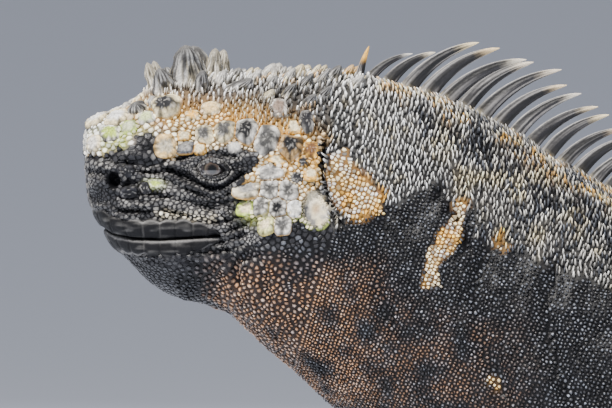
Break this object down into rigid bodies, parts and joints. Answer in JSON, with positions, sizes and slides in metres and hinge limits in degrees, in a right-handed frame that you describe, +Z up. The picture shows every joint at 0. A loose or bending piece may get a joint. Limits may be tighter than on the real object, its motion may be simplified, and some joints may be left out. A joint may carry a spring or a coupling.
{
  "type": "marine iguana",
  "caption": "Life-size still model of an adult male marine iguana, propped on its forelegs with its head level, hips on the floor and a long flattened tail in a slow curve behind it.",
  "frame": {"origin": "on the floor, under the middle of the animal's bounding box", "axes": "the animal faces -X, its left side is towards -Y, and +Z is up"},
  "size_m": [0.9734, 0.3172, 0.2184],
  "materials": {
    "hide": "dark grey, granular and matte, with pale bristly scales along the neck",
    "face": "dark scaly skin with coppery pebbles, half matte",
    "crust": "dark plates under a dry whitish salt crust",
    "eye": "wet, glossy dark brown"
  },
  "bodies": {
    "root": {"head": "crust", "lower_jaw": "face", "eye_left": "eye", "eye_right": "eye", "neck": "hide", "chest": "hide", "belly": "hide", "pelvis": "hide", "tail_1": "hide", "tail_2": "hide", "tail_3": "hide", "tail_4": "hide", "tail_5": "hide", "upper_arm_left": "hide", "forearm_left": "hide", "hand_left": "hide", "thigh_left": "hide", "shin_left": "hide", "foot_left": "hide", "upper_arm_right": "hide", "forearm_right": "hide", "hand_right": "hide", "thigh_right": "hide", "shin_right": "hide", "foot_right": "hide"}
  },
  "joints": []
}
